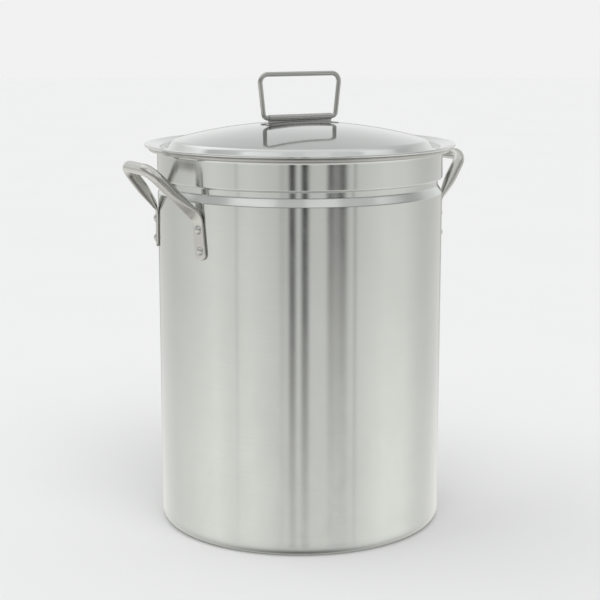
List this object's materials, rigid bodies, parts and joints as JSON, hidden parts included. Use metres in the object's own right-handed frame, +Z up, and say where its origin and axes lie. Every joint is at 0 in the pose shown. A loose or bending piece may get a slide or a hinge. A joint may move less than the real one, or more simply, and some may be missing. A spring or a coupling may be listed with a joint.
{
  "type": "brew kettle",
  "caption": "Tall stainless steel kettle with riveted tube side handles, a groove pressed in under its flared rim, and a lift-off domed lid with a folding wire loop handle.",
  "frame": {"origin": "centre of the kettle's base, on the surface it stands on", "axes": "+Z up; the side handles lie on the X axis, and the lid's wire loop stands in the XZ plane"},
  "size_m": [0.3946, 0.3366, 0.4941],
  "materials": {
    "pot_steel": "satin polished, with fine marks up and down the wall",
    "lid_steel": "mirror polished",
    "handle_steel": "polished tube",
    "rivet_steel": "polished",
    "strap_steel": "plain rolled sheet",
    "wire_steel": "drawn wire"
  },
  "bodies": {
    "kettle": {"pot_shell": "pot_steel", "left_handle": "handle_steel", "right_handle": "handle_steel", "left_front_upper_rivet": "rivet_steel", "left_front_lower_rivet": "rivet_steel", "left_rear_upper_rivet": "rivet_steel", "left_rear_lower_rivet": "rivet_steel", "right_front_upper_rivet": "rivet_steel", "right_front_lower_rivet": "rivet_steel", "right_rear_upper_rivet": "rivet_steel", "right_rear_lower_rivet": "rivet_steel"},
    "lid": {"lid_shell": "lid_steel", "lid_handle_strap": "strap_steel"},
    "lid_handle": {"lid_loop_handle": "wire_steel"}
  },
  "joints": [
    {"name": "lid_lift", "type": "slide", "parent": "kettle", "child": "lid", "axis": [0, 0, 1], "range_m": [0, 0.3]},
    {"name": "lid_handle_fold", "type": "hinge", "parent": "lid", "child": "lid_handle", "pos_m": [0, 0, 0.44496], "axis": [1, 0, 0], "range_deg": [-95, 95]}
  ]
}
